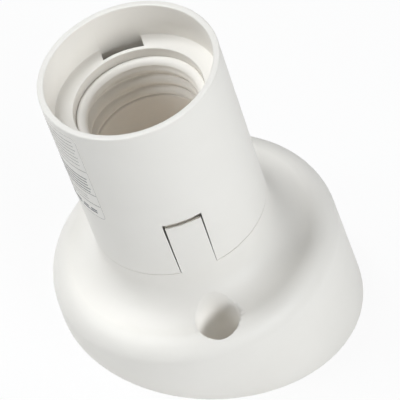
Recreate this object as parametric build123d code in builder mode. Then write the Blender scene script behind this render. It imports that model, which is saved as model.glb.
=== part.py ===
from build123d import *
import math
import os

# Angled lamp socket with a round thread for lamps, in millimetres.
# The wall is the plane Z = 0, and +Z points out of the wall.
# The socket's axis leaves the wall at the origin and leans towards -X.
# A height is a distance along that axis, counted from the origin.

# Socket axis and outer sleeve
LEAN = 15.3
SEAM_HEIGHT = 30.0
SEAM_GAP = 0.15
SLEEVE_RADIUS = 20.0
SLEEVE_WALL = 1.5
SLEEVE_LENGTH = 44.65
RIM_BEVEL = 0.3
LEDGE_DEPTH = 9.0
LEDGE_THICKNESS = 2.0
LEDGE_SLOT_WIDTH = 9.4
LEDGE_WIDTH = 3.95
LIP_WALL = 0.8
LIP_LENGTH = 5.0

# Bell-shaped base
SHOULDER_HEIGHT = 19.35
SHOULDER_CURVE = 5.2
NECK_LAND = 2.65
FLANK_RADIUS = 33.79
FLANK_DRAFT = 2.15
BASE_WALL = 2.2
DECK_THICKNESS = 3.0
DECK_LAND = 6.0

# Wells for the two screws into the wall
FIXING_SPACING = 52.6
WELL_RADIUS = 5.0
WELL_WALL = 1.6
SEAT_THICKNESS = 3.0
WALL_SCREW_HOLE_RADIUS = 2.25

# Latch tongues of the base, which fill notches in the sleeve
TONGUE_WIDTH = 8.1
TONGUE_HEIGHT = 14.9
TONGUE_THICKNESS = 2.2
TONGUE_SIDE_GAP = 0.45
TONGUE_TOP_GAP = 0.8
TIP_SLOPE = 1.8
TIP_SETBACK = 0.5
TIP_LAND = 0.2
TIP_RELIEF = 2.0
ARM_RISE = 3.6
ARM_THICKNESS = 1.5
ARM_CLEARANCE = 0.4
CATCH_HEIGHT = 0.3
CATCH_LENGTH = 1.6
CATCH_POCKET_DEPTH = 0.4

# Lamp thread and the insert that holds it
THREAD_PITCH = 3.629
THREAD_DEPTH = 1.0
THREAD_ROOT_WIDTH = 0.4
THREAD_FLANK_ANGLE = 54.0
THREAD_OVERCUT = 0.2
THREAD_LENGTH = 9.95
THREAD_START = 0.75
THREAD_LEAD_IN = 0.6
BORE_RELIEF = 0.25
INSERT_DROP = 2.6
INSERT_CLEARANCE = 0.35
INSERT_WALL = 1.85
FLANGE_THICKNESS = 2.0

# Contact carrier
CARRIER_HEIGHT = 10.5
CARRIER_CLEARANCE = 0.5
CARRIER_FLOOR = 2.0
CARRIER_CORE_WALL = 1.5
TONGUE_FLEX_ROOM = 1.2

# Terminals, their pockets and their screws
TERMINAL_INSET = 4.8
TERMINAL_LENGTH = 6.8
TERMINAL_WIDTH = 6.6
TERMINAL_HEIGHT = 7.5
TERMINAL_SCREW_DROP = 4.6
POCKET_CLEARANCE = 0.2
TUNNEL_RADIUS = 1.4
TUNNEL_OFFSET = 2.1
TUNNEL_ROOF = 2.2
TERMINAL_SCREW_RADIUS = 1.5
TERMINAL_SCREW_LENGTH = 3.4
TERMINAL_HEAD_RADIUS = 2.4
TERMINAL_HEAD_HEIGHT = 2.0
TERMINAL_HEAD_STANDOFF = 0.4
SCREW_SLOT_WIDTH = 0.6
SCREW_SLOT_DEPTH = 0.8
SCREW_CLEARANCE = 0.05

# Contact strips and their rivets
STRIP_THICKNESS = 0.4
STRIP_WIDTH = 5.0
STRIP_BEND = 1.2
RIVET_OFFSET = 1.6
RIVET_RADIUS = 1.1
RIVET_GRIP = 1.5
RIVET_HEAD_RADIUS = 1.6
RIVET_HEAD_HEIGHT = 0.7
STRIP_MARGIN = 2.2
CENTRE_RISE = 4.6
CENTRE_REACH = 3.6
CENTRE_TIP_DROP = 1.2
SHELL_RISE = 12.0
SHELL_LEAN = 0.9
SHELL_CLEARANCE = 0.75

# Screws that hold the insert and the carrier on the deck
CARRIER_SCREW_ANGLE = 45.0
CARRIER_SCREW_RADIUS = 1.0
CARRIER_SCREW_BITE = 6.0
CARRIER_HEAD_RADIUS = 1.75
CARRIER_HEAD_HEIGHT = 1.3
CARRIER_BOSS_RADIUS = 2.6

# Heights and radii that follow from the sizes above
lean = math.radians(LEAN)
across = (math.cos(lean), 0, math.sin(lean))
outward = (-math.sin(lean), 0, math.cos(lean))
socket_axis = Axis((0, 0, 0), outward)
socket_plane = Plane(origin=(0, 0, 0), x_dir=across, z_dir=outward)
section_plane = Plane(origin=(0, 0, 0), x_dir=across, z_dir=(0, -1, 0))

sleeve_bottom = SEAM_HEIGHT + SEAM_GAP
mouth_height = sleeve_bottom + SLEEVE_LENGTH
sleeve_bore = SLEEVE_RADIUS - SLEEVE_WALL
ledge_top = mouth_height - LEDGE_DEPTH
lip_radius = sleeve_bore - LEDGE_WIDTH
lip_outer = lip_radius + LIP_WALL
insert_top = ledge_top - INSERT_DROP
insert_radius = lip_radius - INSERT_CLEARANCE
thread_minor_radius = insert_radius - INSERT_WALL
thread_foot = insert_top - THREAD_LENGTH
bore_radius = thread_minor_radius + BORE_RELIEF
floor_height = SEAM_HEIGHT + CARRIER_HEIGHT
flange_top = floor_height + FLANGE_THICKNESS
carrier_radius = sleeve_bore - CARRIER_CLEARANCE
tongue_inner = SLEEVE_RADIUS - TONGUE_THICKNESS
tongue_top = SEAM_HEIGHT + TONGUE_HEIGHT
arm_outer = sleeve_bore - ARM_CLEARANCE
arm_inner = arm_outer - ARM_THICKNESS
carrier_flat = arm_inner * math.cos(math.asin(TONGUE_WIDTH / 2 / arm_inner)) - TONGUE_FLEX_ROOM
well_offset = FIXING_SPACING / 2
terminal_top = floor_height - CARRIER_FLOOR
terminal_bottom = terminal_top - TERMINAL_HEIGHT
terminal_outer = carrier_radius - TERMINAL_INSET
terminal_place = terminal_outer - TERMINAL_LENGTH
tunnel_place = terminal_place + TUNNEL_OFFSET
rivet_place = terminal_place + RIVET_OFFSET
terminal_screw_height = terminal_top - TERMINAL_SCREW_DROP
carrier_screw_place = (insert_radius + sleeve_bore) / 2
carrier_core_radius = terminal_place - CARRIER_CORE_WALL
wire_hole_radius = sleeve_bore - DECK_LAND
below_wall = -(FLANK_RADIUS + SLEEVE_RADIUS) * math.tan(lean)


def level(height):
    """The plane across the socket's axis at a height."""
    return socket_plane.offset(height)


def flank_at(height):
    """The radius of the base's drafted flank at a height."""
    return FLANK_RADIUS - height * math.tan(math.radians(FLANK_DRAFT))


def carrier_screw_places():
    """Where the two carrier screws stand, across from each other."""
    return PolarLocations(carrier_screw_place, 2, start_angle=CARRIER_SCREW_ANGLE)


def slotted_screw(place, radius, length, head_radius, head_height):
    """A cheese-head screw whose head starts on the given plane and whose shank points the other way."""
    with BuildPart() as screw:
        with BuildSketch(place):
            Circle(radius)
        extrude(amount=-length)
        with BuildSketch(place):
            Circle(head_radius)
        extrude(amount=head_height)
        with BuildSketch(place.offset(head_height)):
            Rectangle(SCREW_SLOT_WIDTH, 2 * head_radius)
        extrude(amount=-SCREW_SLOT_DEPTH, mode=Mode.SUBTRACT)
    return screw


# Outer sleeve: tube, inner ledge and the lip that hangs from the ledge
with BuildPart() as sleeve:
    with BuildSketch(section_plane):
        with BuildLine():
            Polyline(
                (sleeve_bore, sleeve_bottom),
                (SLEEVE_RADIUS, sleeve_bottom),
                (SLEEVE_RADIUS, mouth_height),
                (sleeve_bore, mouth_height),
                (sleeve_bore, ledge_top),
                (lip_radius, ledge_top),
                (lip_radius, ledge_top - LIP_LENGTH),
                (lip_outer, ledge_top - LIP_LENGTH),
                (lip_outer, ledge_top - LEDGE_THICKNESS),
                (sleeve_bore, ledge_top - LEDGE_THICKNESS),
                close=True,
            )
        make_face()
    revolve(axis=socket_axis)
    rim_edges = sleeve.edges().filter_by(GeomType.CIRCLE).sort_by(socket_axis)[-2:]
    chamfer(rim_edges, length=RIM_BEVEL)
    # Slots through the ledge, in line with the tongues
    with BuildSketch(level(ledge_top)):
        Circle(sleeve_bore)
        Circle(lip_outer, mode=Mode.SUBTRACT)
        Rectangle(LEDGE_SLOT_WIDTH, 2 * SLEEVE_RADIUS, mode=Mode.INTERSECT)
    extrude(amount=-LEDGE_THICKNESS, mode=Mode.SUBTRACT)
    # Notches that the tongues fill, open at the seam
    with BuildSketch(level(sleeve_bottom)):
        Rectangle(TONGUE_WIDTH + 2 * TONGUE_SIDE_GAP, 2 * SLEEVE_RADIUS)
    extrude(amount=tongue_top + TONGUE_TOP_GAP - sleeve_bottom, mode=Mode.SUBTRACT)
    # Pockets inside the wall for the catches on the tongue arms
    with BuildSketch(level(tongue_top + ARM_RISE - 2 * CATCH_LENGTH)):
        Circle(sleeve_bore + CATCH_POCKET_DEPTH)
        Circle(sleeve_bore, mode=Mode.SUBTRACT)
        Rectangle(LEDGE_SLOT_WIDTH, 2 * SLEEVE_RADIUS, mode=Mode.INTERSECT)
    extrude(amount=2 * CATCH_LENGTH, mode=Mode.SUBTRACT)
sleeve.part.label = "sleeve"

# Latch tongues: flush with the sleeve outside, with a catch arm that goes on behind the sleeve's wall.
# A relief between tip and arm leaves an open gap at the end of the notch.
with BuildPart() as tongues:
    with BuildSketch(section_plane):
        with BuildLine():
            Polyline(
                (tongue_inner, SEAM_HEIGHT - DECK_THICKNESS),
                (SLEEVE_RADIUS, SEAM_HEIGHT - NECK_LAND),
                (SLEEVE_RADIUS, tongue_top - TIP_SLOPE),
                (SLEEVE_RADIUS - TIP_SETBACK, tongue_top),
                (SLEEVE_RADIUS - TIP_SETBACK - TIP_LAND, tongue_top),
                (arm_outer, tongue_top - TIP_RELIEF),
                (arm_outer, tongue_top + ARM_RISE - 1.5 * CATCH_LENGTH),
                (arm_outer + CATCH_HEIGHT, tongue_top + ARM_RISE - CATCH_LENGTH),
                (arm_outer, tongue_top + ARM_RISE - CATCH_LENGTH / 2),
                (arm_outer, tongue_top + ARM_RISE),
                (arm_inner, tongue_top + ARM_RISE),
                (arm_inner, tongue_top - TIP_SLOPE),
                (tongue_inner, tongue_top - 2 * TIP_SLOPE),
                close=True,
            )
        make_face()
    revolve(axis=socket_axis)
    with BuildSketch(level(0)):
        Rectangle(TONGUE_WIDTH, 2 * SLEEVE_RADIUS)
    extrude(amount=mouth_height, mode=Mode.INTERSECT)

# The hollow of the bell, with the columns of the screw wells and the bosses under the deck left standing
with BuildPart() as bell_hollow:
    hollow_top = SHOULDER_HEIGHT - BASE_WALL
    neck_inner = SLEEVE_RADIUS - BASE_WALL
    deck_under = SEAM_HEIGHT - DECK_THICKNESS
    with BuildSketch(section_plane):
        with BuildLine():
            Polyline(
                (0, below_wall),
                (flank_at(below_wall) - BASE_WALL, below_wall),
                (flank_at(hollow_top) - BASE_WALL, hollow_top - SHOULDER_CURVE / 2),
                (flank_at(hollow_top) - BASE_WALL - SHOULDER_CURVE / 2, hollow_top),
                (FLANK_RADIUS - BASE_WALL - SHOULDER_CURVE, hollow_top),
                (neck_inner, deck_under - BASE_WALL),
                (neck_inner, deck_under),
                (wire_hole_radius, deck_under),
                (wire_hole_radius, SEAM_HEIGHT),
                (0, SEAM_HEIGHT),
                close=True,
            )
        make_face()
    revolve(axis=socket_axis)
    with BuildSketch(level(below_wall)):
        with Locations((0, well_offset), (0, -well_offset)):
            Circle(WELL_RADIUS + WELL_WALL)
    extrude(amount=deck_under - below_wall, mode=Mode.SUBTRACT)
    with BuildSketch(level(SEAM_HEIGHT)):
        with carrier_screw_places():
            Circle(CARRIER_BOSS_RADIUS)
    extrude(amount=-CARRIER_SCREW_BITE - CARRIER_BOSS_RADIUS / 2, mode=Mode.SUBTRACT)

# The room above each screw seat, from the seat out through the shoulder
with BuildPart() as well_room:
    with BuildSketch(level(below_wall)):
        with Locations((0, well_offset), (0, -well_offset)):
            Circle(WELL_RADIUS)
    extrude(amount=SEAM_HEIGHT - below_wall)
    split(bisect_by=Plane.XY.offset(SEAT_THICKNESS), keep=Keep.TOP)

# Base housing: a bell turned about the leaning axis and cut off flat at the wall
with BuildPart() as base_housing:
    neck_curve = min(
        flank_at(SHOULDER_HEIGHT) - SLEEVE_RADIUS - SHOULDER_CURVE,
        SEAM_HEIGHT - NECK_LAND - SHOULDER_HEIGHT,
    )
    with BuildSketch(section_plane):
        with BuildLine():
            FilletPolyline(
                (SLEEVE_RADIUS, SEAM_HEIGHT),
                (SLEEVE_RADIUS, SHOULDER_HEIGHT),
                (flank_at(SHOULDER_HEIGHT), SHOULDER_HEIGHT),
                (flank_at(below_wall), below_wall),
                radius=[neck_curve, SHOULDER_CURVE],
            )
            Polyline(
                (flank_at(below_wall), below_wall),
                (0, below_wall),
                (0, SEAM_HEIGHT),
                (SLEEVE_RADIUS, SEAM_HEIGHT),
            )
        make_face()
    revolve(axis=socket_axis)
    add(bell_hollow.part, mode=Mode.SUBTRACT)
    add(well_room.part, mode=Mode.SUBTRACT)
    add(tongues.part)
    split(bisect_by=Plane.XY, keep=Keep.TOP)
    with BuildSketch(Plane.XY):
        with Locations((0, well_offset), (0, -well_offset)):
            Circle(WALL_SCREW_HOLE_RADIUS)
    extrude(amount=SEAT_THICKNESS, mode=Mode.SUBTRACT)
    with BuildSketch(level(SEAM_HEIGHT)):
        with carrier_screw_places():
            Circle(CARRIER_SCREW_RADIUS + SCREW_CLEARANCE)
    extrude(amount=-CARRIER_SCREW_BITE, mode=Mode.SUBTRACT)
base_housing.part.label = "base_housing"

# One groove of the lamp thread, wound about Z from below the thread's foot until it has left the insert's top
thread_hidden = THREAD_PITCH - THREAD_START
groove_spread = math.tan(math.radians(THREAD_FLANK_ANGLE))
groove_mouth = THREAD_ROOT_WIDTH / 2 + (THREAD_DEPTH + THREAD_OVERCUT) * groove_spread
with BuildPart() as thread_groove:
    with BuildLine() as groove_path:
        Helix(THREAD_PITCH, thread_hidden + THREAD_LENGTH + groove_mouth, thread_minor_radius)
    with BuildSketch(Plane(origin=(thread_minor_radius, 0, 0), x_dir=(1, 0, 0), z_dir=(0, -1, 0))):
        with BuildLine():
            Polyline(
                (-THREAD_OVERCUT, -groove_mouth),
                (THREAD_DEPTH, -THREAD_ROOT_WIDTH / 2),
                (THREAD_DEPTH, THREAD_ROOT_WIDTH / 2),
                (-THREAD_OVERCUT, groove_mouth),
                close=True,
            )
        make_face()
    sweep(path=groove_path.line, is_frenet=True)

# The tube with the lamp thread, which ends flat at its foot
with BuildPart() as threaded_tube:
    with BuildSketch(section_plane):
        with BuildLine():
            Polyline(
                (thread_minor_radius, thread_foot),
                (insert_radius, thread_foot),
                (insert_radius, insert_top),
                (thread_minor_radius + THREAD_LEAD_IN, insert_top),
                (thread_minor_radius, insert_top - THREAD_LEAD_IN),
                close=True,
            )
        make_face()
    revolve(axis=socket_axis)
    with Locations(level(thread_foot - thread_hidden)):
        add(thread_groove.part, mode=Mode.SUBTRACT)

# Thread insert: the threaded tube on a wider plain bore with a flange that stands on the carrier
with BuildPart() as thread_insert:
    with BuildSketch(section_plane):
        with BuildLine():
            Polyline(
                (bore_radius, floor_height),
                (carrier_radius, floor_height),
                (carrier_radius, flange_top),
                (insert_radius, flange_top),
                (insert_radius, thread_foot),
                (bore_radius, thread_foot),
                close=True,
            )
        make_face()
    revolve(axis=socket_axis)
    with BuildSketch(level(floor_height)):
        Rectangle(2 * SLEEVE_RADIUS, 2 * carrier_flat)
    extrude(amount=thread_foot - floor_height, mode=Mode.INTERSECT)
    with BuildSketch(level(flange_top)):
        with carrier_screw_places():
            Circle(CARRIER_SCREW_RADIUS + SCREW_CLEARANCE)
    extrude(amount=-FLANGE_THICKNESS, mode=Mode.SUBTRACT)
    add(threaded_tube.part)
thread_insert.part.label = "thread_insert"

# Contact carrier: the block under the insert, with pockets for the terminals that open below and outwards
with BuildPart() as contact_carrier:
    with BuildSketch(level(SEAM_HEIGHT)):
        Circle(carrier_radius)
        Rectangle(2 * SLEEVE_RADIUS, 2 * carrier_flat, mode=Mode.INTERSECT)
        Circle(carrier_core_radius, mode=Mode.SUBTRACT)
        pocket_width = TERMINAL_WIDTH + 2 * POCKET_CLEARANCE
        for side in (1, -1):
            with Locations((side * (terminal_place - POCKET_CLEARANCE + SLEEVE_RADIUS / 2), 0)):
                Rectangle(SLEEVE_RADIUS, pocket_width, mode=Mode.SUBTRACT)
    extrude(amount=CARRIER_HEIGHT - CARRIER_FLOOR)
    with BuildSketch(level(floor_height)):
        Circle(carrier_radius)
        Rectangle(2 * SLEEVE_RADIUS, 2 * carrier_flat, mode=Mode.INTERSECT)
        with Locations((rivet_place, 0), (-rivet_place, 0)):
            Circle(RIVET_RADIUS + SCREW_CLEARANCE, mode=Mode.SUBTRACT)
    extrude(amount=-CARRIER_FLOOR)
    with BuildSketch(level(floor_height)):
        with carrier_screw_places():
            Circle(CARRIER_SCREW_RADIUS + SCREW_CLEARANCE)
    extrude(amount=-CARRIER_HEIGHT, mode=Mode.SUBTRACT)
contact_carrier.part.label = "contact_carrier"


def terminal(side):
    """A brass block with a wire tunnel from below, a screw hole from outside and a rivet hole on top."""
    screw_plane = Plane(
        origin=socket_plane.from_local_coords((side * terminal_outer, 0, terminal_screw_height)),
        x_dir=(0, 1, 0),
        z_dir=tuple(side * component for component in across),
    )
    with BuildPart() as block:
        with BuildSketch(level(terminal_bottom)):
            with Locations((side * (terminal_place + TERMINAL_LENGTH / 2), 0)):
                Rectangle(TERMINAL_LENGTH, TERMINAL_WIDTH)
        extrude(amount=TERMINAL_HEIGHT)
        with BuildSketch(level(terminal_bottom)):
            with Locations((side * tunnel_place, 0)):
                Circle(TUNNEL_RADIUS)
        extrude(amount=TERMINAL_HEIGHT - TUNNEL_ROOF, mode=Mode.SUBTRACT)
        with BuildSketch(level(terminal_top)):
            with Locations((side * rivet_place, 0)):
                Circle(RIVET_RADIUS + SCREW_CLEARANCE)
        extrude(amount=-RIVET_GRIP, mode=Mode.SUBTRACT)
        with BuildSketch(screw_plane):
            Circle(TERMINAL_SCREW_RADIUS + SCREW_CLEARANCE)
        extrude(amount=tunnel_place - terminal_outer, mode=Mode.SUBTRACT)
    screw = slotted_screw(
        screw_plane.offset(TERMINAL_HEAD_STANDOFF),
        TERMINAL_SCREW_RADIUS,
        TERMINAL_SCREW_LENGTH,
        TERMINAL_HEAD_RADIUS,
        TERMINAL_HEAD_HEIGHT,
    )
    return block, screw


live_terminal, live_terminal_screw = terminal(1)
live_terminal.part.label = "live_terminal"
live_terminal_screw.part.label = "live_terminal_screw"
neutral_terminal, neutral_terminal_screw = terminal(-1)
neutral_terminal.part.label = "neutral_terminal"
neutral_terminal_screw.part.label = "neutral_terminal_screw"


def contact_strip(side, points):
    """A strip bent along points in the socket's section, with a hole for its rivet."""
    with BuildPart() as strip:
        with BuildSketch(section_plane):
            with BuildLine():
                FilletPolyline(*points, radius=STRIP_BEND)
                offset(amount=STRIP_THICKNESS, side=Side.LEFT)
            make_face()
        extrude(amount=STRIP_WIDTH / 2, both=True)
        with BuildSketch(level(floor_height)):
            with Locations((side * rivet_place, 0)):
                Circle(RIVET_RADIUS + SCREW_CLEARANCE)
        extrude(amount=STRIP_THICKNESS, mode=Mode.SUBTRACT)
    return strip


# The centre strip springs up from its rivet to the axis and turns down at its tip
centre_contact = contact_strip(
    1,
    [
        (-CENTRE_REACH, floor_height + CENTRE_RISE - CENTRE_TIP_DROP),
        (0, floor_height + CENTRE_RISE - STRIP_THICKNESS),
        (rivet_place - STRIP_MARGIN - STRIP_BEND, floor_height),
        (rivet_place + STRIP_MARGIN, floor_height),
    ],
)
centre_contact.part.label = "centre_contact"

# The shell strip stands up beside the bore's wall and leans in to the lamp's cap
strip_back = -(thread_minor_radius - SHELL_CLEARANCE)
shell_contact = contact_strip(
    -1,
    [
        (strip_back + SHELL_LEAN / 2, floor_height + SHELL_RISE),
        (strip_back + 2 * SHELL_LEAN, floor_height + SHELL_RISE - 2 * STRIP_BEND),
        (strip_back, floor_height + SHELL_RISE / 2),
        (strip_back, floor_height),
        (-rivet_place + STRIP_MARGIN, floor_height),
    ],
)
shell_contact.part.label = "shell_contact"


def rivet(side):
    """A rivet that holds a strip's foot down and reaches through the floor into the terminal."""
    with BuildPart() as pin:
        with BuildSketch(level(floor_height + STRIP_THICKNESS)):
            with Locations((side * rivet_place, 0)):
                Circle(RIVET_HEAD_RADIUS)
        extrude(amount=RIVET_HEAD_HEIGHT)
        with BuildSketch(level(floor_height + STRIP_THICKNESS)):
            with Locations((side * rivet_place, 0)):
                Circle(RIVET_RADIUS)
        extrude(amount=-STRIP_THICKNESS - CARRIER_FLOOR - RIVET_GRIP)
    return pin


centre_rivet = rivet(1)
centre_rivet.part.label = "centre_rivet"
shell_rivet = rivet(-1)
shell_rivet.part.label = "shell_rivet"


def carrier_screw(angle):
    """A screw from the insert's flange through the carrier into a boss under the deck."""
    turn = math.radians(angle)
    spot = (carrier_screw_place * math.cos(turn), carrier_screw_place * math.sin(turn), flange_top)
    seat = Plane(origin=socket_plane.from_local_coords(spot), x_dir=across, z_dir=outward)
    length = FLANGE_THICKNESS + CARRIER_HEIGHT + CARRIER_SCREW_BITE - SCREW_CLEARANCE
    return slotted_screw(seat, CARRIER_SCREW_RADIUS, length, CARRIER_HEAD_RADIUS, CARRIER_HEAD_HEIGHT)


carrier_screw_right = carrier_screw(CARRIER_SCREW_ANGLE)
carrier_screw_right.part.label = "carrier_screw_right"
carrier_screw_left = carrier_screw(CARRIER_SCREW_ANGLE + 180)
carrier_screw_left.part.label = "carrier_screw_left"

os.makedirs("parts", exist_ok=True)
export_step(base_housing.part, "parts/base_housing.step")
export_step(sleeve.part, "parts/sleeve.step")
export_step(thread_insert.part, "parts/thread_insert.step")
export_step(contact_carrier.part, "parts/contact_carrier.step")
export_step(centre_contact.part, "parts/centre_contact.step")
export_step(shell_contact.part, "parts/shell_contact.step")
export_step(live_terminal.part, "parts/live_terminal.step")
export_step(neutral_terminal.part, "parts/neutral_terminal.step")
export_step(live_terminal_screw.part, "parts/live_terminal_screw.step")
export_step(neutral_terminal_screw.part, "parts/neutral_terminal_screw.step")
export_step(centre_rivet.part, "parts/centre_rivet.step")
export_step(shell_rivet.part, "parts/shell_rivet.step")
export_step(carrier_screw_right.part, "parts/carrier_screw_right.step")
export_step(carrier_screw_left.part, "parts/carrier_screw_left.step")
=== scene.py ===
import math
from functools import partial

import bmesh
import bpy
from mathutils import Matrix, Vector


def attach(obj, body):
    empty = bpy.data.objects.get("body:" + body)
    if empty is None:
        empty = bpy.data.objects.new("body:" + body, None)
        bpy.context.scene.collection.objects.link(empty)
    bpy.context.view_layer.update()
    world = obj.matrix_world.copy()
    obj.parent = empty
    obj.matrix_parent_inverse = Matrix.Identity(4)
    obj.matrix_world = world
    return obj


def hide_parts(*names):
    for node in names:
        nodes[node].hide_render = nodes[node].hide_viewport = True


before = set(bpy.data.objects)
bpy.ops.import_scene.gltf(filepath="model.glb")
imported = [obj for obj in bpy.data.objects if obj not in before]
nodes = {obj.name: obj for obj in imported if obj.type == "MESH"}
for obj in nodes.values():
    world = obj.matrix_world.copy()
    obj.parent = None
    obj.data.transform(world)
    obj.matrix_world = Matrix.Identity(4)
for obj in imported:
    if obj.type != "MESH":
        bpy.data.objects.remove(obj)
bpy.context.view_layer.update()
scene = bpy.context.scene

# Sizes of the socket in millimetres. Heights run along the leaning axis of the socket, from the wall.
MM = 0.001
LEAN = math.radians(15.3)

# The sleeve, its mouth, and the ledge and lip inside it
SLEEVE_RADIUS = 20.0
SLEEVE_BORE = 18.5
SLEEVE_BOTTOM = 30.15
MOUTH_HEIGHT = 74.8
RIM_ROUND = 0.38
LEDGE_TOP = 65.8
LEDGE_THICKNESS = 2.0
LEDGE_ROUND = 0.25
LEDGE_SLOT_HALF = 4.7
LIP_TOP = 65.45
LIP_RADIUS = 14.55
LIP_OUTER = 15.35
LIP_LENGTH = 5.0

# The notches in the sleeve's foot, the base's tongues in them, and the pockets for the tongues' catches
NOTCH_LEFT_FOOT = -4.17
NOTCH_LEFT_TOP = -4.5
NOTCH_RIGHT_FOOT = 4.11
NOTCH_RIGHT_TOP = 4.4
NOTCH_TOP = 46.1
TONGUE_TOP = 44.9
TONGUE_TIP_INSIDE = 18.6
TONGUE_TIP_DROP = 0.5
TONGUE_TIP_TOLERANCE = 0.01
POCKET_LOW = 45.3
POCKET_HIGH = 48.5
POCKET_RADIUS = 18.9

# The insert with its flange and bore
INSERT_TOP = 63.2
INSERT_RADIUS = 14.45
INSERT_EDGE = 0.15
INSERT_LEAD = 1.85
FLOOR_HEIGHT = 40.5
FLANGE_TOP = 42.5
FLANGE_RADIUS = 18.0
FLANGE_FLAT = 14.898
BORE_RADIUS = 12.6
BORE_TOP = 52.0
BORE_ROUND = 0.6
RELIEF_RADIUS = 13.6

# The lamp's round thread. One of its roots passes the +x side at THREAD_TURN, and it is counted from
# some turns below that. LEAD_FADE is the number of rows in the lead-in over which it fades.
THREAD_RADIUS = 12.35
THREAD_PITCH = 3.629
THREAD_CREST_ROUND = 1.5
THREAD_ROOT_ROUND = 0.5
THREAD_FOOT = 53.25
THREAD_TURN = 54.5
THREAD_TURNS_BELOW = 3
THREAD_RUN_OUT = 0.3
LEAD_FADE = 7

# How finely the meshes are divided
TURNED_STEPS = 288
SMALL_TURNED_STEPS = 56
SLEEVE_ROWS = 12
RIM_STEPS = 6
LEDGE_STEPS = 4
SECTOR_STEPS = 25
BORE_ROWS = 4
BORE_STEPS = 10
THREAD_ROWS = 120
LEAD_STEPS = 24
MERGE_DISTANCE = 0.001

# How far the cutting blocks reach past what they cut
CUT_MARGIN = 0.5
CUT_REACH = 0.6
CUT_HAIR = 0.01
NOTCH_MARGIN = 2.0

# Angles in degrees past which an edge stays crisp
SLEEVE_CRISP = 32.0
BASE_CRISP = 24.0
INSERT_CRISP = 60.0
BLOCK_CRISP = 30.0
SMALL_CRISP = 40.0


def axes_frame(x, y, z, spot):
    """The frame with these three axes at a spot in metres."""
    return Matrix((
        (x[0], y[0], z[0], spot[0]),
        (x[1], y[1], z[1], spot[1]),
        (x[2], y[2], z[2], spot[2]),
        (0.0, 0.0, 0.0, 1.0),
    ))


# The socket's own frame: x across, y along the wall, z out along the leaning axis
SOCKET = axes_frame(
    (math.cos(LEAN), 0.0, math.sin(LEAN)), (0.0, 1.0, 0.0), (-math.sin(LEAN), 0.0, math.cos(LEAN)),
    (0.0, 0.0, 0.0),
)


# Materials. Patterns are given in cells per metre, relief in metres.
PATTERN_LOW = 0.3
PATTERN_HIGH = 0.7
PLASTIC_CLOUDS = 55.0
PLASTIC_GLOSS = 320.0
PLASTIC_GRAIN = 5200.0
PLASTIC_IOR = 1.5
METAL_STREAKS = 900.0
METAL_GLOSS = 1400.0
METAL_RELIEF = 0.00002
PAPER_FIBRE = 3000.0
PAPER_GLOSS = 700.0
PAPER_GLOSS_SPREAD = 0.1


def empty_material(name):
    """A material without steps, its tree, and the socket that takes its surface."""
    material = bpy.data.materials.new(name)
    material.use_nodes = True
    tree = material.node_tree
    tree.nodes.clear()
    output = tree.nodes.new("ShaderNodeOutputMaterial")
    return material, tree, output.inputs["Surface"]


def shaded_material(name):
    """A material with one all-round shader."""
    material, tree, surface = empty_material(name)
    shader = tree.nodes.new("ShaderNodeBsdfPrincipled")
    tree.links.new(shader.outputs["BSDF"], surface)
    return material, tree, shader


def noise(tree, scale, detail, stretch=None):
    """A noise pattern fixed to the piece."""
    place = tree.nodes.new("ShaderNodeTexCoord")
    pattern = tree.nodes.new("ShaderNodeTexNoise")
    pattern.inputs["Scale"].default_value = scale
    pattern.inputs["Detail"].default_value = detail
    source = place.outputs["Object"]
    if stretch:
        mapping = tree.nodes.new("ShaderNodeMapping")
        mapping.inputs["Scale"].default_value = stretch
        tree.links.new(source, mapping.inputs["Vector"])
        source = mapping.outputs["Vector"]
    tree.links.new(source, pattern.inputs["Vector"])
    return pattern.outputs["Fac"]


def ramp(tree, source, low, high):
    """A value that follows a pattern from low to high."""
    spread = tree.nodes.new("ShaderNodeMapRange")
    spread.inputs["From Min"].default_value = PATTERN_LOW
    spread.inputs["From Max"].default_value = PATTERN_HIGH
    spread.inputs["To Min"].default_value = low
    spread.inputs["To Max"].default_value = high
    tree.links.new(source, spread.inputs["Value"])
    return spread.outputs["Result"]


def tint(tree, shader, source, light, dark):
    """Colours a shader between two tints that follow a pattern."""
    mix = tree.nodes.new("ShaderNodeMix")
    mix.data_type = "RGBA"
    tree.links.new(ramp(tree, source, 0.0, 1.0), mix.inputs["Factor"])
    mix.inputs["A"].default_value = (*light, 1.0)
    mix.inputs["B"].default_value = (*dark, 1.0)
    tree.links.new(mix.outputs["Result"], shader.inputs["Base Color"])


def gloss(tree, shader, source, smooth, rough):
    """Roughens a shader unevenly, following a pattern."""
    tree.links.new(ramp(tree, source, smooth, rough), shader.inputs["Roughness"])


def relief(tree, shader, source, height, strength):
    """Gives a shader fine relief from a pattern."""
    bump = tree.nodes.new("ShaderNodeBump")
    bump.inputs["Distance"].default_value = height
    bump.inputs["Strength"].default_value = strength
    tree.links.new(source, bump.inputs["Height"])
    tree.links.new(bump.outputs["Normal"], shader.inputs["Normal"])


def moulded_plastic(name, light, dark, smooth, rough, grain):
    """Satin moulded plastic with faint clouding, uneven gloss and a fine mould grain."""
    material, tree, shader = shaded_material(name)
    tint(tree, shader, noise(tree, PLASTIC_CLOUDS, detail=3.0), light, dark)
    gloss(tree, shader, noise(tree, PLASTIC_GLOSS, detail=4.0), smooth, rough)
    shader.inputs["IOR"].default_value = PLASTIC_IOR
    relief(tree, shader, noise(tree, PLASTIC_GRAIN, detail=3.0), grain, strength=0.35)
    return material


def worked_metal(name, light, dark, smooth, rough, stretch):
    """Bare or plated metal with drawn streaks, small colour changes and uneven gloss."""
    material, tree, shader = shaded_material(name)
    streak = noise(tree, METAL_STREAKS, detail=4.0, stretch=stretch)
    tint(tree, shader, streak, light, dark)
    gloss(tree, shader, noise(tree, METAL_GLOSS, detail=3.0), smooth, rough)
    shader.inputs["Metallic"].default_value = 1.0
    relief(tree, shader, streak, METAL_RELIEF, strength=0.3)
    return material


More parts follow.
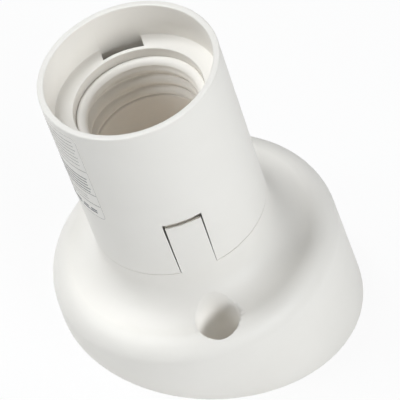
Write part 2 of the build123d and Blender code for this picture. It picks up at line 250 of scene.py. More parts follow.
def printed_paper(name, light, dark, smooth):
    """Thin coated paper or ink with a faint fibre pattern."""
    material, tree, shader = shaded_material(name)
    tint(tree, shader, noise(tree, PAPER_FIBRE, detail=4.0), light, dark)
    gloss(tree, shader, noise(tree, PAPER_GLOSS, detail=2.0), smooth, smooth + PAPER_GLOSS_SPREAD)
    return material


SHELL_WHITE = moulded_plastic(
    "shell_white", light=(0.905, 0.872, 0.82), dark=(0.885, 0.852, 0.798),
    smooth=0.46, rough=0.56, grain=0.00001,
)
# The insert's white is the shell's white made a little lighter: painted light that brightens the shaded
# mouth of the socket.
INSERT_PAINTED_LIGHT_WHITE = moulded_plastic(
    "insert_painted_light_white", light=(0.94, 0.905, 0.85), dark=(0.92, 0.885, 0.828),
    smooth=0.42, rough=0.52, grain=0.00001,
)
CARRIER_WHITE = moulded_plastic(
    "carrier_white", light=(0.9, 0.862, 0.798), dark=(0.87, 0.832, 0.76),
    smooth=0.45, rough=0.6, grain=0.00002,
)
SPRING_BRONZE = worked_metal(
    "spring_bronze", light=(0.72, 0.47, 0.27), dark=(0.62, 0.38, 0.2),
    smooth=0.25, rough=0.4, stretch=(1.0, 6.0, 1.0),
)
TERMINAL_BRASS = worked_metal(
    "terminal_brass", light=(0.8, 0.62, 0.3), dark=(0.7, 0.52, 0.24),
    smooth=0.22, rough=0.36, stretch=(1.0, 1.0, 6.0),
)
PLATED_STEEL = worked_metal(
    "plated_steel", light=(0.66, 0.66, 0.65), dark=(0.56, 0.56, 0.56),
    smooth=0.24, rough=0.4, stretch=(3.0, 3.0, 1.0),
)
LABEL_PAPER = printed_paper(
    "label_paper", light=(0.91, 0.878, 0.83), dark=(0.885, 0.853, 0.804), smooth=0.42,
)
PALE_INK = printed_paper("pale_ink", light=(0.42, 0.4, 0.37), dark=(0.36, 0.34, 0.31), smooth=0.5)
DARK_INK = printed_paper("dark_ink", light=(0.17, 0.165, 0.17), dark=(0.13, 0.125, 0.13), smooth=0.5)


# Mesh tools

def as_piece(name, builder):
    """A new piece from a mesh builder, which is used up."""
    mesh = bpy.data.meshes.new(name)
    builder.to_mesh(mesh)
    builder.free()
    return bpy.data.objects.new(name, mesh)


def closed_piece(name, builder):
    """A new piece from the builder of a closed mesh, with its faces turned outward."""
    bmesh.ops.recalc_face_normals(builder, faces=builder.faces)
    return as_piece(name, builder)


def cad_copy(name, node):
    """A copy of a node's mesh with its doubled points merged."""
    builder = bmesh.new()
    builder.from_mesh(nodes[node].data)
    bmesh.ops.remove_doubles(builder, verts=builder.verts, dist=MERGE_DISTANCE * MM)
    return as_piece(name, builder)


def rework(piece, edit):
    """Passes a piece's mesh through an editing function."""
    builder = bmesh.new()
    builder.from_mesh(piece.data)
    edit(builder)
    builder.to_mesh(piece.data)
    builder.free()


def shade(piece, crisp_angle):
    """Shades a piece smooth, with crisp edges where the surface turns sharply."""
    piece.data.shade_smooth()
    piece.data.set_sharp_from_angle(angle=math.radians(crisp_angle))


def link_once(piece):
    """Links a piece to the scene if it isn't there yet."""
    if piece.name not in scene.collection.objects:
        scene.collection.objects.link(piece)


def dress(piece, material, body, replaced=()):
    """Gives a piece its material, links it and ties it to its body."""
    link_once(piece)
    piece.data.materials.clear()
    piece.data.materials.append(material)
    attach(piece, body)
    if replaced:
        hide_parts(*replaced)


def arc(centre, radius, start, end, steps):
    """Points of a round in a turned section, angles in degrees."""
    turns = [math.radians(start + (end - start) * i / steps) for i in range(steps + 1)]
    return [(centre[0] + radius * math.cos(t), centre[1] + radius * math.sin(t)) for t in turns]


def run(first, last, steps):
    """Evenly spaced points on a straight line of a section, without the last one."""
    return [tuple(a + (b - a) * i / steps for a, b in zip(first, last)) for i in range(steps)]


def turned(name, section, steps, closed=True):
    """A piece turned about its axis from a section of (radius, height) points, which may close on itself."""
    builder = bmesh.new()
    turns = [math.tau * i / steps for i in range(steps)]
    rings = []
    for radius, height in section:
        ring_turns = turns if radius > 0.0 else turns[:1]
        spots = [(radius * MM * math.cos(t), radius * MM * math.sin(t), height * MM) for t in ring_turns]
        rings.append([builder.verts.new(spot) for spot in spots])
    above = rings[1:] + rings[:1] if closed else rings[1:]
    for lower, upper in zip(rings, above):
        for i in range(steps):
            j = (i + 1) % steps
            corners = [(lower, i), (lower, j), (upper, j), (upper, i)]
            face = list(dict.fromkeys(ring[k % len(ring)] for ring, k in corners))
            if len(face) > 2:
                builder.faces.new(face)
    return closed_piece(name, builder)


def prism(name, outline, low, high, top_outline=None):
    """A block from an outline in the socket's plane, between two heights, with its own top where given."""
    builder = bmesh.new()
    bottom = [builder.verts.new((x * MM, y * MM, low * MM)) for x, y in outline]
    top = [builder.verts.new((x * MM, y * MM, high * MM)) for x, y in top_outline or outline]
    count = len(outline)
    for i in range(count):
        j = (i + 1) % count
        builder.faces.new((bottom[i], bottom[j], top[j], top[i]))
    builder.faces.new(bottom)
    builder.faces.new(top)
    return closed_piece(name, builder)


def strip(left, right, reach):
    """The outline of a straight slot between two sides, right across a piece."""
    return [(left, -reach), (right, -reach), (right, reach), (left, reach)]


def ring_sector(inner, outer, half_width, side):
    """The outline of a slice of a ring, on the +y or -y side."""
    outline = []
    for radius, sense in ((outer, 1), (inner, -1)):
        start = sense * math.asin(half_width / radius)
        for i in range(SECTOR_STEPS + 1):
            t = start - 2 * start * i / SECTOR_STEPS
            outline.append((radius * math.sin(t), side * radius * math.cos(t)))
    return outline


def bake(piece):
    """Turns a piece with modifiers into a plain mesh."""
    link_once(piece)
    evaluated = piece.evaluated_get(bpy.context.evaluated_depsgraph_get())
    mesh = bpy.data.meshes.new_from_object(evaluated)
    piece.modifiers.clear()
    piece.data = mesh
    mesh.name = piece.name


def cut(piece, cutters):
    """Cuts blocks out of a piece and deletes the blocks."""
    for cutter in cutters:
        scene.collection.objects.link(cutter)
        step = piece.modifiers.new("cut", "BOOLEAN")
        step.operation = "DIFFERENCE"
        step.solver = "EXACT"
        step.object = cutter
    bake(piece)
    for cutter in cutters:
        bpy.data.objects.remove(cutter)


# Node tree tools

def new_tree(name, inputs):
    """A tree that takes a mesh, named inputs and a material, and its input sockets."""
    tree = bpy.data.node_groups.new(name, "GeometryNodeTree")
    sockets = {"Geometry": "NodeSocketGeometry", **inputs, "Material": "NodeSocketMaterial"}
    for label, kind in sockets.items():
        tree.interface.new_socket(label, in_out="INPUT", socket_type=kind)
    tree.interface.new_socket("Geometry", in_out="OUTPUT", socket_type="NodeSocketGeometry")
    return tree, tree.nodes.new("NodeGroupInput").outputs


def plug(tree, value, socket):
    """Sets a socket to a plain number or links it to the result of another step."""
    if isinstance(value, (int, float)):
        socket.default_value = value
    else:
        tree.links.new(value, socket)


def add_step(tree, kind, values):
    """Adds a step to a tree and plugs in its values, given by socket."""
    step = tree.nodes.new(kind)
    for socket, value in values.items():
        plug(tree, value, step.inputs[socket])
    return step


def arithmetic(tree, operation, first, second=0.0):
    """Adds a step of arithmetic to a tree."""
    step = tree.nodes.new("ShaderNodeMath")
    step.operation = operation
    plug(tree, first, step.inputs[0])
    plug(tree, second, step.inputs[1])
    return step.outputs[0]


def position(tree):
    """The x, y and z of each point."""
    place = tree.nodes.new("GeometryNodeInputPosition")
    return add_step(tree, "ShaderNodeSeparateXYZ", {0: place.outputs[0]}).outputs


def paint_and_end(tree, geometry, material):
    """Ends a tree with its material."""
    paint = add_step(tree, "GeometryNodeSetMaterial", {"Geometry": geometry, "Material": material})
    result = tree.nodes.new("NodeGroupOutput")
    tree.links.new(paint.outputs["Geometry"], result.inputs["Geometry"])
    return tree


def set_inputs(step, sizes):
    """Sets a node modifier's inputs by their names."""
    for item in step.node_group.interface.items_tree:
        if item.in_out == "INPUT" and item.name in sizes:
            step[item.identifier] = sizes[item.name]


# Thread winding: a tree that presses a round thread into the wall of a turned piece

def thread_tree():
    """Moves the marked wall of a turned mesh in or out along a helix with round crests and roots."""
    labels = ("Pitch", "Crest round", "Root round", "Foot", "Sense", "Run-out turns")
    tree, sizes = new_tree("wind_thread", dict.fromkeys(labels, "NodeSocketFloat"))
    add = partial(add_step, tree)
    calc = partial(arithmetic, tree)

    def rise(radius, distance):
        """How far a round curves away at a distance from its middle."""
        square = calc("SUBTRACT", calc("POWER", radius, 2.0), calc("POWER", distance, 2.0))
        return calc("SUBTRACT", radius, calc("SQRT", square))

    spot = position(tree)
    angle = calc("ARCTAN2", spot["Y"], spot["X"])
    turn = calc("FRACT", calc("ADD", calc("DIVIDE", angle, math.tau), 1.0))
    climb = calc("DIVIDE", calc("SUBTRACT", spot["Z"], sizes["Foot"]), sizes["Pitch"])
    winding = calc("SUBTRACT", climb, turn)
    groove = calc("ROUND", winding)
    offset = calc("MULTIPLY", calc("ABSOLUTE", calc("SUBTRACT", winding, groove)), sizes["Pitch"])
    half = calc("MULTIPLY", sizes["Pitch"], 0.5)
    rounds = calc("ADD", sizes["Crest round"], sizes["Root round"])
    meeting = calc("MULTIPLY", sizes["Root round"], calc("DIVIDE", half, rounds))
    in_root = calc("LESS_THAN", offset, meeting)
    outside_root = calc("SUBTRACT", 1.0, in_root)
    root = rise(sizes["Root round"], calc("MINIMUM", offset, meeting))
    root = calc("SUBTRACT", rise(rounds, half), root)
    crest = rise(sizes["Crest round"], calc("SUBTRACT", half, calc("MAXIMUM", offset, meeting)))
    shape = calc("ADD", calc("MULTIPLY", in_root, root), calc("MULTIPLY", outside_root, crest))
    turns_done = calc("ADD", groove, turn)
    started = add("ShaderNodeMapRange", {"Value": turns_done, "From Max": sizes["Run-out turns"]})
    started.interpolation_type = "SMOOTHSTEP"
    mark = tree.nodes.new("GeometryNodeInputNamedAttribute")
    mark.data_type = "FLOAT"
    mark.inputs["Name"].default_value = "thread_wall"
    press = calc("MULTIPLY", calc("MULTIPLY", shape, started.outputs["Result"]), mark.outputs["Attribute"])
    press = calc("MULTIPLY", press, sizes["Sense"])
    outward = add("ShaderNodeCombineXYZ", {
        "X": calc("MULTIPLY", press, calc("COSINE", angle)),
        "Y": calc("MULTIPLY", press, calc("SINE", angle)),
    })
    move = add("GeometryNodeSetPosition", {"Geometry": sizes["Geometry"], "Offset": outward.outputs[0]})
    realise = add("GeometryNodeRealizeInstances", {"Geometry": move.outputs["Geometry"]})
    return paint_and_end(tree, realise.outputs["Geometry"], sizes["Material"])


WIND_THREAD = thread_tree()


def wind_thread(piece, point_marks, material, sizes):
    """Marks the wall that takes the thread and winds it, sizes in metres."""
    mark = piece.data.attributes.new("thread_wall", "FLOAT", "POINT")
    mark.data.foreach_set("value", point_marks)
    step = piece.modifiers.new("thread", "NODES")
    step.node_group = WIND_THREAD
    set_inputs(step, {**sizes, "Material": material})
    bake(piece)


# The sleeve: a turned tube with a rounded rim, an inner ledge and its lip

def sleeve_section():
    """The sleeve's wall from its foot over the rim and down inside to the ledge and the lip."""
    rim = RIM_ROUND
    lip_foot = LEDGE_TOP - LIP_LENGTH
    ledge_foot = LEDGE_TOP - LEDGE_THICKNESS
    section = [(SLEEVE_BORE, SLEEVE_BOTTOM)]
    section += run((SLEEVE_RADIUS, SLEEVE_BOTTOM), (SLEEVE_RADIUS, MOUTH_HEIGHT - rim), SLEEVE_ROWS)
    section += arc((SLEEVE_RADIUS - rim, MOUTH_HEIGHT - rim), rim, 0, 90, RIM_STEPS)
    section += arc((SLEEVE_BORE + rim, MOUTH_HEIGHT - rim), rim, 90, 180, RIM_STEPS)
    section += arc((SLEEVE_BORE - LEDGE_ROUND, LEDGE_TOP + LEDGE_ROUND), LEDGE_ROUND, 0, -90, LEDGE_STEPS)
    section += arc((LIP_RADIUS + LEDGE_ROUND, LIP_TOP - LEDGE_ROUND), LEDGE_ROUND, 90, 180, LEDGE_STEPS)
    section += [(LIP_RADIUS, lip_foot), (LIP_OUTER, lip_foot)]
    section += [(LIP_OUTER, ledge_foot), (SLEEVE_BORE, ledge_foot)]
    return section


def sleeve_cutters():
    """Blocks for the two notches, and on each side for the slot in the ledge and the catch's pocket."""
    reach = SLEEVE_RADIUS + NOTCH_MARGIN
    notch_foot = strip(NOTCH_LEFT_FOOT, NOTCH_RIGHT_FOOT, reach)
    notch_top = strip(NOTCH_LEFT_TOP, NOTCH_RIGHT_TOP, reach)
    cutters = [prism("notch", notch_foot, SLEEVE_BOTTOM - CUT_MARGIN, NOTCH_TOP, notch_top)]
    slot_low = LEDGE_TOP - LEDGE_THICKNESS - CUT_MARGIN
    for side in (1, -1):
        slot = ring_sector(LIP_OUTER + CUT_HAIR, SLEEVE_BORE + 2 * CUT_HAIR, LEDGE_SLOT_HALF, side)
        cutters.append(prism("ledge_slot", slot, slot_low, LEDGE_TOP + CUT_REACH))
        pocket = ring_sector(SLEEVE_BORE - CUT_REACH, POCKET_RADIUS, LEDGE_SLOT_HALF, side)
        cutters.append(prism("catch_pocket", pocket, POCKET_LOW, POCKET_HIGH))
    return cutters


sleeve = turned("sleeve_tube", sleeve_section(), TURNED_STEPS)
cut(sleeve, sleeve_cutters())
sleeve.data.transform(SOCKET)
shade(sleeve, SLEEVE_CRISP)
dress(sleeve, SHELL_WHITE, "sleeve", ("sleeve",))

# The bell-shaped base with its latch tongues and screw wells. The tongues' tips are set a little lower.
base = cad_copy("base_bell", "base_housing")
base.data.transform(SOCKET.inverted())
for vertex in base.data.vertices:
    on_tip = math.hypot(vertex.co.x, vertex.co.y) > TONGUE_TIP_INSIDE * MM
    if on_tip and abs(vertex.co.z - TONGUE_TOP * MM) < TONGUE_TIP_TOLERANCE * MM:
        vertex.co.z -= TONGUE_TIP_DROP * MM
base.data.transform(SOCKET)
shade(base, BASE_CRISP)
dress(base, SHELL_WHITE, "base", ("base_housing",))


# The insert with the lamp's round thread

def insert_section():
    """The section of the insert and, for each point, how far the thread is pressed into it."""
    lead_foot = INSERT_TOP - INSERT_LEAD
    plain = run((BORE_RADIUS, FLOOR_HEIGHT), (BORE_RADIUS, BORE_TOP), BORE_ROWS)
    plain += arc((BORE_RADIUS + BORE_ROUND, BORE_TOP), BORE_ROUND, 180, 90, BORE_STEPS)
    plain += [(RELIEF_RADIUS, BORE_TOP + BORE_ROUND), (RELIEF_RADIUS, THREAD_FOOT)]
    wall = run((THREAD_RADIUS, THREAD_FOOT), (THREAD_RADIUS, lead_foot), THREAD_ROWS)
    lead = arc((THREAD_RADIUS + INSERT_LEAD, lead_foot), INSERT_LEAD, 180, 90, LEAD_STEPS)
    fade = [max(0.0, 1.0 - i / LEAD_FADE) for i in range(len(lead))]
    outside = [(INSERT_RADIUS - INSERT_EDGE, INSERT_TOP), (INSERT_RADIUS, INSERT_TOP - INSERT_EDGE)]
    outside += [(INSERT_RADIUS, FLANGE_TOP), (FLANGE_RADIUS, FLANGE_TOP), (FLANGE_RADIUS, FLOOR_HEIGHT)]
    marks = [0.0] * len(plain) + [1.0] * len(wall) + fade + [0.0] * len(outside)
    return plain + wall + lead + outside, marks


section, marks = insert_section()
insert = turned("lamp_thread_insert", section, TURNED_STEPS)
for vertex in insert.data.vertices:
    if abs(vertex.co.y) > FLANGE_FLAT * MM:
        vertex.co.y = math.copysign(FLANGE_FLAT * MM, vertex.co.y)
wind_thread(
    insert, [mark for mark in marks for _ in range(TURNED_STEPS)], INSERT_PAINTED_LIGHT_WHITE,
    {
        "Pitch": THREAD_PITCH * MM,
        "Crest round": THREAD_CREST_ROUND * MM,
        "Root round": THREAD_ROOT_ROUND * MM,
        "Foot": (THREAD_TURN - THREAD_TURNS_BELOW * THREAD_PITCH) * MM,
        "Sense": 1.0,
        "Run-out turns": THREAD_RUN_OUT,
    },
)
insert.data.transform(SOCKET)
shade(insert, INSERT_CRISP)
dress(insert, INSERT_PAINTED_LIGHT_WHITE, "base", ("thread_insert",))

# Screws: turned cheese heads with a driver slot, and a shank with a thread that fades in at its point
SCREW_FINISH = PLATED_STEEL
SCREW_SLOT_WIDTH = 0.6
SCREW_SLOT_DEPTH = 0.8
SCREW_HEAD_ROUND = 0.3
SCREW_HEAD_STEPS = 5
SCREW_HEAD_BEVEL = 0.1
SCREW_TOP_SHARE = 0.6
SCREW_NECK = 0.1
SCREW_POINT_LENGTH = 0.4
SCREW_POINT_SHARE = 0.7
SCREW_ROWS_PER_TURN = 10
SCREW_RUN_OUT = 1.0
CLAMP_SCREW = {"shank": 1.5, "length": 3.4, "head": 2.4, "height": 2.0, "pitch": 0.5, "rounding": 0.15}
HOLDING_SCREW = {"shank": 1.0, "length": 18.45, "head": 1.75, "height": 1.3, "pitch": 0.9, "rounding": 0.26}
CLAMP_SCREW_SEAT = 13.6
CLAMP_SCREW_HEIGHT = 33.9
HOLDING_SCREW_PLACE = 16.35
HOLDING_SCREW_TURN = math.radians(45.0)
ALONG_WALL = (0.0, 1.0, 0.0)
OUT = (0.0, 0.0, 1.0)


def seat(spot, axis, slot_along):
    """The frame of a screw or rivet whose own z is the axis, at a spot of the socket in millimetres."""
    z = Vector(axis).normalized()
    y = Vector(slot_along).normalized()
    return SOCKET @ axes_frame(y.cross(z), y, z, [size * MM for size in spot])


def slotted_screw(name, place, shank, length, head, height, pitch, rounding):
    """A cheese-head screw, its head seated at the frame's origin and its shank pointing down."""
    edge = SCREW_HEAD_ROUND
    shoulder = (shank, -length + SCREW_POINT_LENGTH)
    neck = (shank, -SCREW_NECK)
    point = [(0.0, -length), (shank * SCREW_POINT_SHARE, -length), shoulder]
    wall = run(shoulder, neck, int(length / pitch * SCREW_ROWS_PER_TURN))[1:]
    top = [neck, (shank, 0.0), (head - SCREW_HEAD_BEVEL, 0.0), (head, SCREW_HEAD_BEVEL)]
    top += arc((head - edge, height - edge), edge, 0, 90, SCREW_HEAD_STEPS)
    top += [(head * SCREW_TOP_SHARE, height), (0.0, height)]
    screw = turned(name, point + wall + top, SMALL_TURNED_STEPS, closed=False)
    plain_below = 1 + (len(point) - 1) * SMALL_TURNED_STEPS
    plain_above = (len(top) - 1) * SMALL_TURNED_STEPS + 1
    point_marks = [0.0] * plain_below + [1.0] * (len(wall) * SMALL_TURNED_STEPS) + [0.0] * plain_above
    wind_thread(
        screw, point_marks, SCREW_FINISH,
        {
            "Pitch": pitch * MM,
            "Crest round": rounding * MM,
            "Root round": rounding * MM,
            "Foot": -length * MM,
            "Sense": -1.0,
            "Run-out turns": SCREW_RUN_OUT,
        },
    )
    half = SCREW_SLOT_WIDTH / 2
    slot = strip(-half, half, head + CUT_MARGIN)
    cut(screw, [prism("driver_slot", slot, height - SCREW_SLOT_DEPTH, height + CUT_MARGIN)])
    screw.data.transform(place)
    shade(screw, SMALL_CRISP)
    return screw


for name, body, node, side in (
    ("live_clamp_screw", "live_screw", "live_terminal_screw", 1),
    ("neutral_clamp_screw", "neutral_screw", "neutral_terminal_screw", -1),
):
    place = seat((side * CLAMP_SCREW_SEAT, 0.0, CLAMP_SCREW_HEIGHT), (side, 0.0, 0.0), OUT)
    screw = slotted_screw(name, place, **CLAMP_SCREW)
    dress(screw, SCREW_FINISH, body, (node,))

for name, node, turn in (
    ("right_holding_screw", "carrier_screw_right", HOLDING_SCREW_TURN),
    ("left_holding_screw", "carrier_screw_left", HOLDING_SCREW_TURN + math.pi),
):
    spot = (HOLDING_SCREW_PLACE * math.cos(turn), HOLDING_SCREW_PLACE * math.sin(turn), FLANGE_TOP)
    screw = slotted_screw(name, seat(spot, OUT, ALONG_WALL), **HOLDING_SCREW)
    dress(screw, SCREW_FINISH, "base", (node,))

# Rivets with domed heads on the feet of the contact strips
RIVET_PLACE = 8.0
STRIP_THICKNESS = 0.4
RIVET_SEAT = FLOOR_HEIGHT + STRIP_THICKNESS
RIVET_RADIUS = 1.1
RIVET_LENGTH = 3.9
RIVET_BEVEL = 0.1
RIVET_HEAD = 1.6
RIVET_DOME = 0.7
RIVET_DOME_STEPS = 10


def rivet_section():
    """The rivet's shank from its bevelled end up to the crown of the domed head."""
    crown = (RIVET_HEAD ** 2 + RIVET_DOME ** 2) / (2 * RIVET_DOME)
    sweep = math.degrees(math.asin(RIVET_HEAD / crown))
    section = [(0.0, -RIVET_LENGTH), (RIVET_RADIUS - RIVET_BEVEL, -RIVET_LENGTH)]
    section += [(RIVET_RADIUS, -RIVET_LENGTH + RIVET_BEVEL), (RIVET_RADIUS, 0.0), (RIVET_HEAD, 0.0)]
    section += arc((0.0, RIVET_DOME - crown), crown, 90.0 - sweep, 90.0, RIVET_DOME_STEPS)[1:-1]
    return section + [(0.0, RIVET_DOME)]


for name, node, side in (
    ("centre_strip_rivet", "centre_rivet", 1),
    ("shell_strip_rivet", "shell_rivet", -1),
):
    rivet = turned(name, rivet_section(), SMALL_TURNED_STEPS, closed=False)
    rivet.data.transform(seat((side * RIVET_PLACE, 0.0, RIVET_SEAT), OUT, ALONG_WALL))
    shade(rivet, SMALL_CRISP)
    dress(rivet, TERMINAL_BRASS, "base", (node,))

# Terminals, strips and carrier: the solids with their edges broken
FLAT_ANGLE = math.radians(0.5)
EDGE_ANGLE = math.radians(50.0)
EDGE_SEGMENTS = 2
TERMINAL_EDGE = 0.15
STRIP_EDGE = 0.07
CARRIER_EDGE = 0.2
MOST_CORNERS = 4


def join_flats(builder):
    """Joins the triangles of flat faces, so that only true edges are left."""
    bmesh.ops.dissolve_limit(builder, angle_limit=FLAT_ANGLE, verts=builder.verts, edges=builder.edges)


def mend_faces(builder):
    """Splits faces with many corners and takes out faces without area."""
    large = [face for face in builder.faces if len(face.verts) > MOST_CORNERS]
    bmesh.ops.triangulate(builder, faces=large)
    bmesh.ops.dissolve_degenerate(builder, dist=MERGE_DISTANCE * MM, edges=builder.edges)


def break_edges(name, node, width, material):
    """Copies a node with a small round along its sharp edges."""
    piece = cad_copy(name, node)
    rework(piece, join_flats)
    step = piece.modifiers.new("edges", "BEVEL")
    step.width = width * MM
    step.segments = EDGE_SEGMENTS
    step.limit_method = "ANGLE"
    step.angle_limit = EDGE_ANGLE
    bake(piece)
    rework(piece, mend_faces)
    shade(piece, BLOCK_CRISP)
    dress(piece, material, "base", (node,))


break_edges("live_terminal_block", "live_terminal", TERMINAL_EDGE, TERMINAL_BRASS)
break_edges("neutral_terminal_block", "neutral_terminal", TERMINAL_EDGE, TERMINAL_BRASS)
break_edges("centre_contact_strip", "centre_contact", STRIP_EDGE, SPRING_BRONZE)
break_edges("shell_contact_strip", "shell_contact", STRIP_EDGE, SPRING_BRONZE)
break_edges("carrier_block", "contact_carrier", CARRIER_EDGE, CARRIER_WHITE)

# A plain paper label on the sleeve's left. LABEL_FRAME is the width in cells of a thin grey line along its
# edge.
LABEL_START = math.radians(-140.3)
LABEL_WIDTH = 20.0
LABEL_LOW = 46.4
LABEL_HIGH = 72.9
LABEL_CORNER = 1.2
LABEL_THICKNESS = 0.05
LABEL_LIFT = 0.003
LABEL_COLUMNS = 48
LABEL_ROWS = 44
LABEL_FRAME = 2


def wrapped(along, out, height):
    """A point outside the sleeve, given along its round from the label's edge."""
    angle = LABEL_START - along / SLEEVE_RADIUS
    radius = (SLEEVE_RADIUS + out) * MM
    return (radius * math.cos(angle), radius * math.sin(angle), height * MM)


def closer_at_ends(steps):
    """Shares from 0 to 1 that lie closer together at both ends."""
    return [0.5 - 0.5 * math.cos(math.pi * i / steps) for i in range(steps + 1)]


def label_column(along):
    """The heights of one column of the label, which is shorter at the rounded corners."""
    into = max(0.0, LABEL_CORNER - along, along - LABEL_WIDTH + LABEL_CORNER)
    drop = LABEL_CORNER - math.sqrt(max(0.0, LABEL_CORNER ** 2 - into ** 2))
    tall = LABEL_HIGH - LABEL_LOW - 2 * drop
    return [LABEL_LOW + drop + tall * share for share in closer_at_ends(LABEL_ROWS)]


def label_patch(name):
    """A thin sheet with rounded corners that lies on the sleeve."""
    columns, rows = LABEL_COLUMNS, LABEL_ROWS
    builder = bmesh.new()
    layers = []
    for out in (LABEL_LIFT, LABEL_LIFT + LABEL_THICKNESS):
        grid = []
        for share in closer_at_ends(columns):
            along = LABEL_WIDTH * share
            grid.append([builder.verts.new(wrapped(along, out, height)) for height in label_column(along)])
        layers.append(grid)
        for i in range(columns):
            for j in range(rows):
                builder.faces.new((grid[i][j], grid[i + 1][j], grid[i + 1][j + 1], grid[i][j + 1]))
    border = [(i, 0) for i in range(columns)] + [(columns, j) for j in range(rows)]
    border += [(i, rows) for i in range(columns, 0, -1)] + [(0, j) for j in range(rows, 0, -1)]
    under, over = layers
    for (i, j), (k, m) in zip(border, border[1:] + border[:1]):
        builder.faces.new((under[i][j], under[k][m], over[k][m], over[i][j]))
    return closed_piece(name, builder)


def grey_label_edge(patch):
    """Gives the outermost cells of both faces of the label its second material."""
    for sheet in range(2):
        for i in range(LABEL_COLUMNS):
            for j in range(LABEL_ROWS):
                inset = min(i, j, LABEL_COLUMNS - 1 - i, LABEL_ROWS - 1 - j)
                if inset < LABEL_FRAME:
                    cell = (sheet * LABEL_COLUMNS + i) * LABEL_ROWS + j
                    patch.data.polygons[cell].material_index = 1


label = label_patch("sleeve_label")
label.data.transform(SOCKET)
shade(label, SMALL_CRISP)
dress(label, LABEL_PAPER, "sleeve")
# The second material draws a thin grey line right along the label's edge.
label.data.materials.append(PALE_INK)
grey_label_edge(label)

# Rows of plain bars printed on the label
INK_THICKNESS = 0.02
INK_LIFT = 0.002
PRINT_RADIUS = SLEEVE_RADIUS + LABEL_LIFT + LABEL_THICKNESS + INK_THICKNESS / 2 + INK_LIFT
BAR_POINTS = 30

# For each block its name, its ink, the number of rows and columns and their spacing, the bars' width, their
# shortest and longest length, their indent and how ragged it is, the height of the low row, and the seed
BAR_BLOCKS = (
    ("upper_bars", PALE_INK, (7, 1), (1.25, 0.0), 0.18, (11.0, 16.0), (0.9, 1.0), 63.75, 5),
    ("upper_rule", PALE_INK, (1, 1), (0.0, 0.0), 0.2, (19.6, 19.6), (0.2, 0.0), 62.15, 1),
    ("middle_bars", DARK_INK, (5, 1), (1.08, 0.0), 0.26, (7.5, 14.0), (1.0, 0.6), 55.25, 11),
    ("lower_rules", PALE_INK, (2, 1), (3.55, 0.0), 0.2, (19.6, 19.6), (0.2, 0.0), 50.8, 1),
    ("lower_bars", PALE_INK, (2, 1), (0.9, 0.0), 0.14, (7.0, 11.0), (3.0, 0.8), 52.0, 7),
    ("foot_bars", DARK_INK, (2, 5), (0.75, 2.7), 0.4, (1.7, 2.4), (1.9, 0.2), 47.9, 3),
)


def bar_tree():
    """Rows and columns of thin bars of uneven length, laid round the sleeve."""
    counts = ("Rows", "Columns", "Seed")
    lengths = (
        "Row spacing", "Column spacing", "Bar width", "Shortest", "Longest",
        "Indent", "Ragged", "Low row", "Radius", "Start angle",
    )
    inputs = {**dict.fromkeys(counts, "NodeSocketInt"), **dict.fromkeys(lengths, "NodeSocketFloat")}
    tree, sizes = new_tree("print_bars", inputs)
    add = partial(add_step, tree)
    calc = partial(arithmetic, tree)

    def vector(x, y, z):
        """Three values as one."""
        return add("ShaderNodeCombineXYZ", {"X": x, "Y": y, "Z": z}).outputs[0]

    def uneven(low, high, shift):
        """A length drawn for each bar, from the seed and a shift that tells the draws apart."""
        # Inputs 2 and 3 are the lowest and highest length, and output 1 is the length itself
        step = tree.nodes.new("FunctionNodeRandomValue")
        step.data_type = "FLOAT"
        plug(tree, low, step.inputs[2])
        plug(tree, high, step.inputs[3])
        plug(tree, calc("ADD", sizes["Seed"], shift), step.inputs["Seed"])
        return step.outputs[1]

    starts = add("GeometryNodeMeshLine", {"Count": calc("MULTIPLY", sizes["Rows"], sizes["Columns"])})
    order = tree.nodes.new("GeometryNodeInputIndex").outputs[0]
    row = calc("FLOOR", calc("DIVIDE", order, sizes["Columns"]))
    column = calc("MODULO", order, sizes["Columns"])
    along = calc("ADD", sizes["Indent"], calc("MULTIPLY", column, sizes["Column spacing"]))
    along = calc("ADD", along, uneven(0.0, sizes["Ragged"], 1))
    height = calc("ADD", sizes["Low row"], calc("MULTIPLY", row, sizes["Row spacing"]))
    first_end = vector(along, height, 0.0)
    lay = add("GeometryNodeSetPosition", {"Geometry": starts.outputs["Mesh"], "Position": first_end})
    # A bar of unit length that begins at its point and is stretched to its own length
    bar_size = vector(1.0, sizes["Bar width"], INK_THICKNESS * MM)
    bar = add("GeometryNodeMeshCube", {"Size": bar_size, "Vertices X": BAR_POINTS})
    aside = add("GeometryNodeTransform", {"Geometry": bar.outputs["Mesh"]})
    aside.inputs["Translation"].default_value = (0.5, 0.0, 0.0)
    spread = add("GeometryNodeInstanceOnPoints", {
        "Points": lay.outputs["Geometry"],
        "Instance": aside.outputs["Geometry"],
        "Scale": vector(uneven(sizes["Shortest"], sizes["Longest"], 0), 1.0, 1.0),
    })
    realise = add("GeometryNodeRealizeInstances", {"Geometry": spread.outputs["Instances"]})
    flat = position(tree)
    angle = calc("SUBTRACT", sizes["Start angle"], calc("DIVIDE", flat["X"], sizes["Radius"]))
    reach = calc("ADD", sizes["Radius"], flat["Z"])
    round_x = calc("MULTIPLY", reach, calc("COSINE", angle))
    round_y = calc("MULTIPLY", reach, calc("SINE", angle))
    bent = vector(round_x, round_y, flat["Y"])
    bend = add("GeometryNodeSetPosition", {"Geometry": realise.outputs["Geometry"], "Position": bent})
    outward = add("GeometryNodeFlipFaces", {"Mesh": bend.outputs["Geometry"]})
    return paint_and_end(tree, outward.outputs["Mesh"], sizes["Material"])


PRINT_BARS = bar_tree()


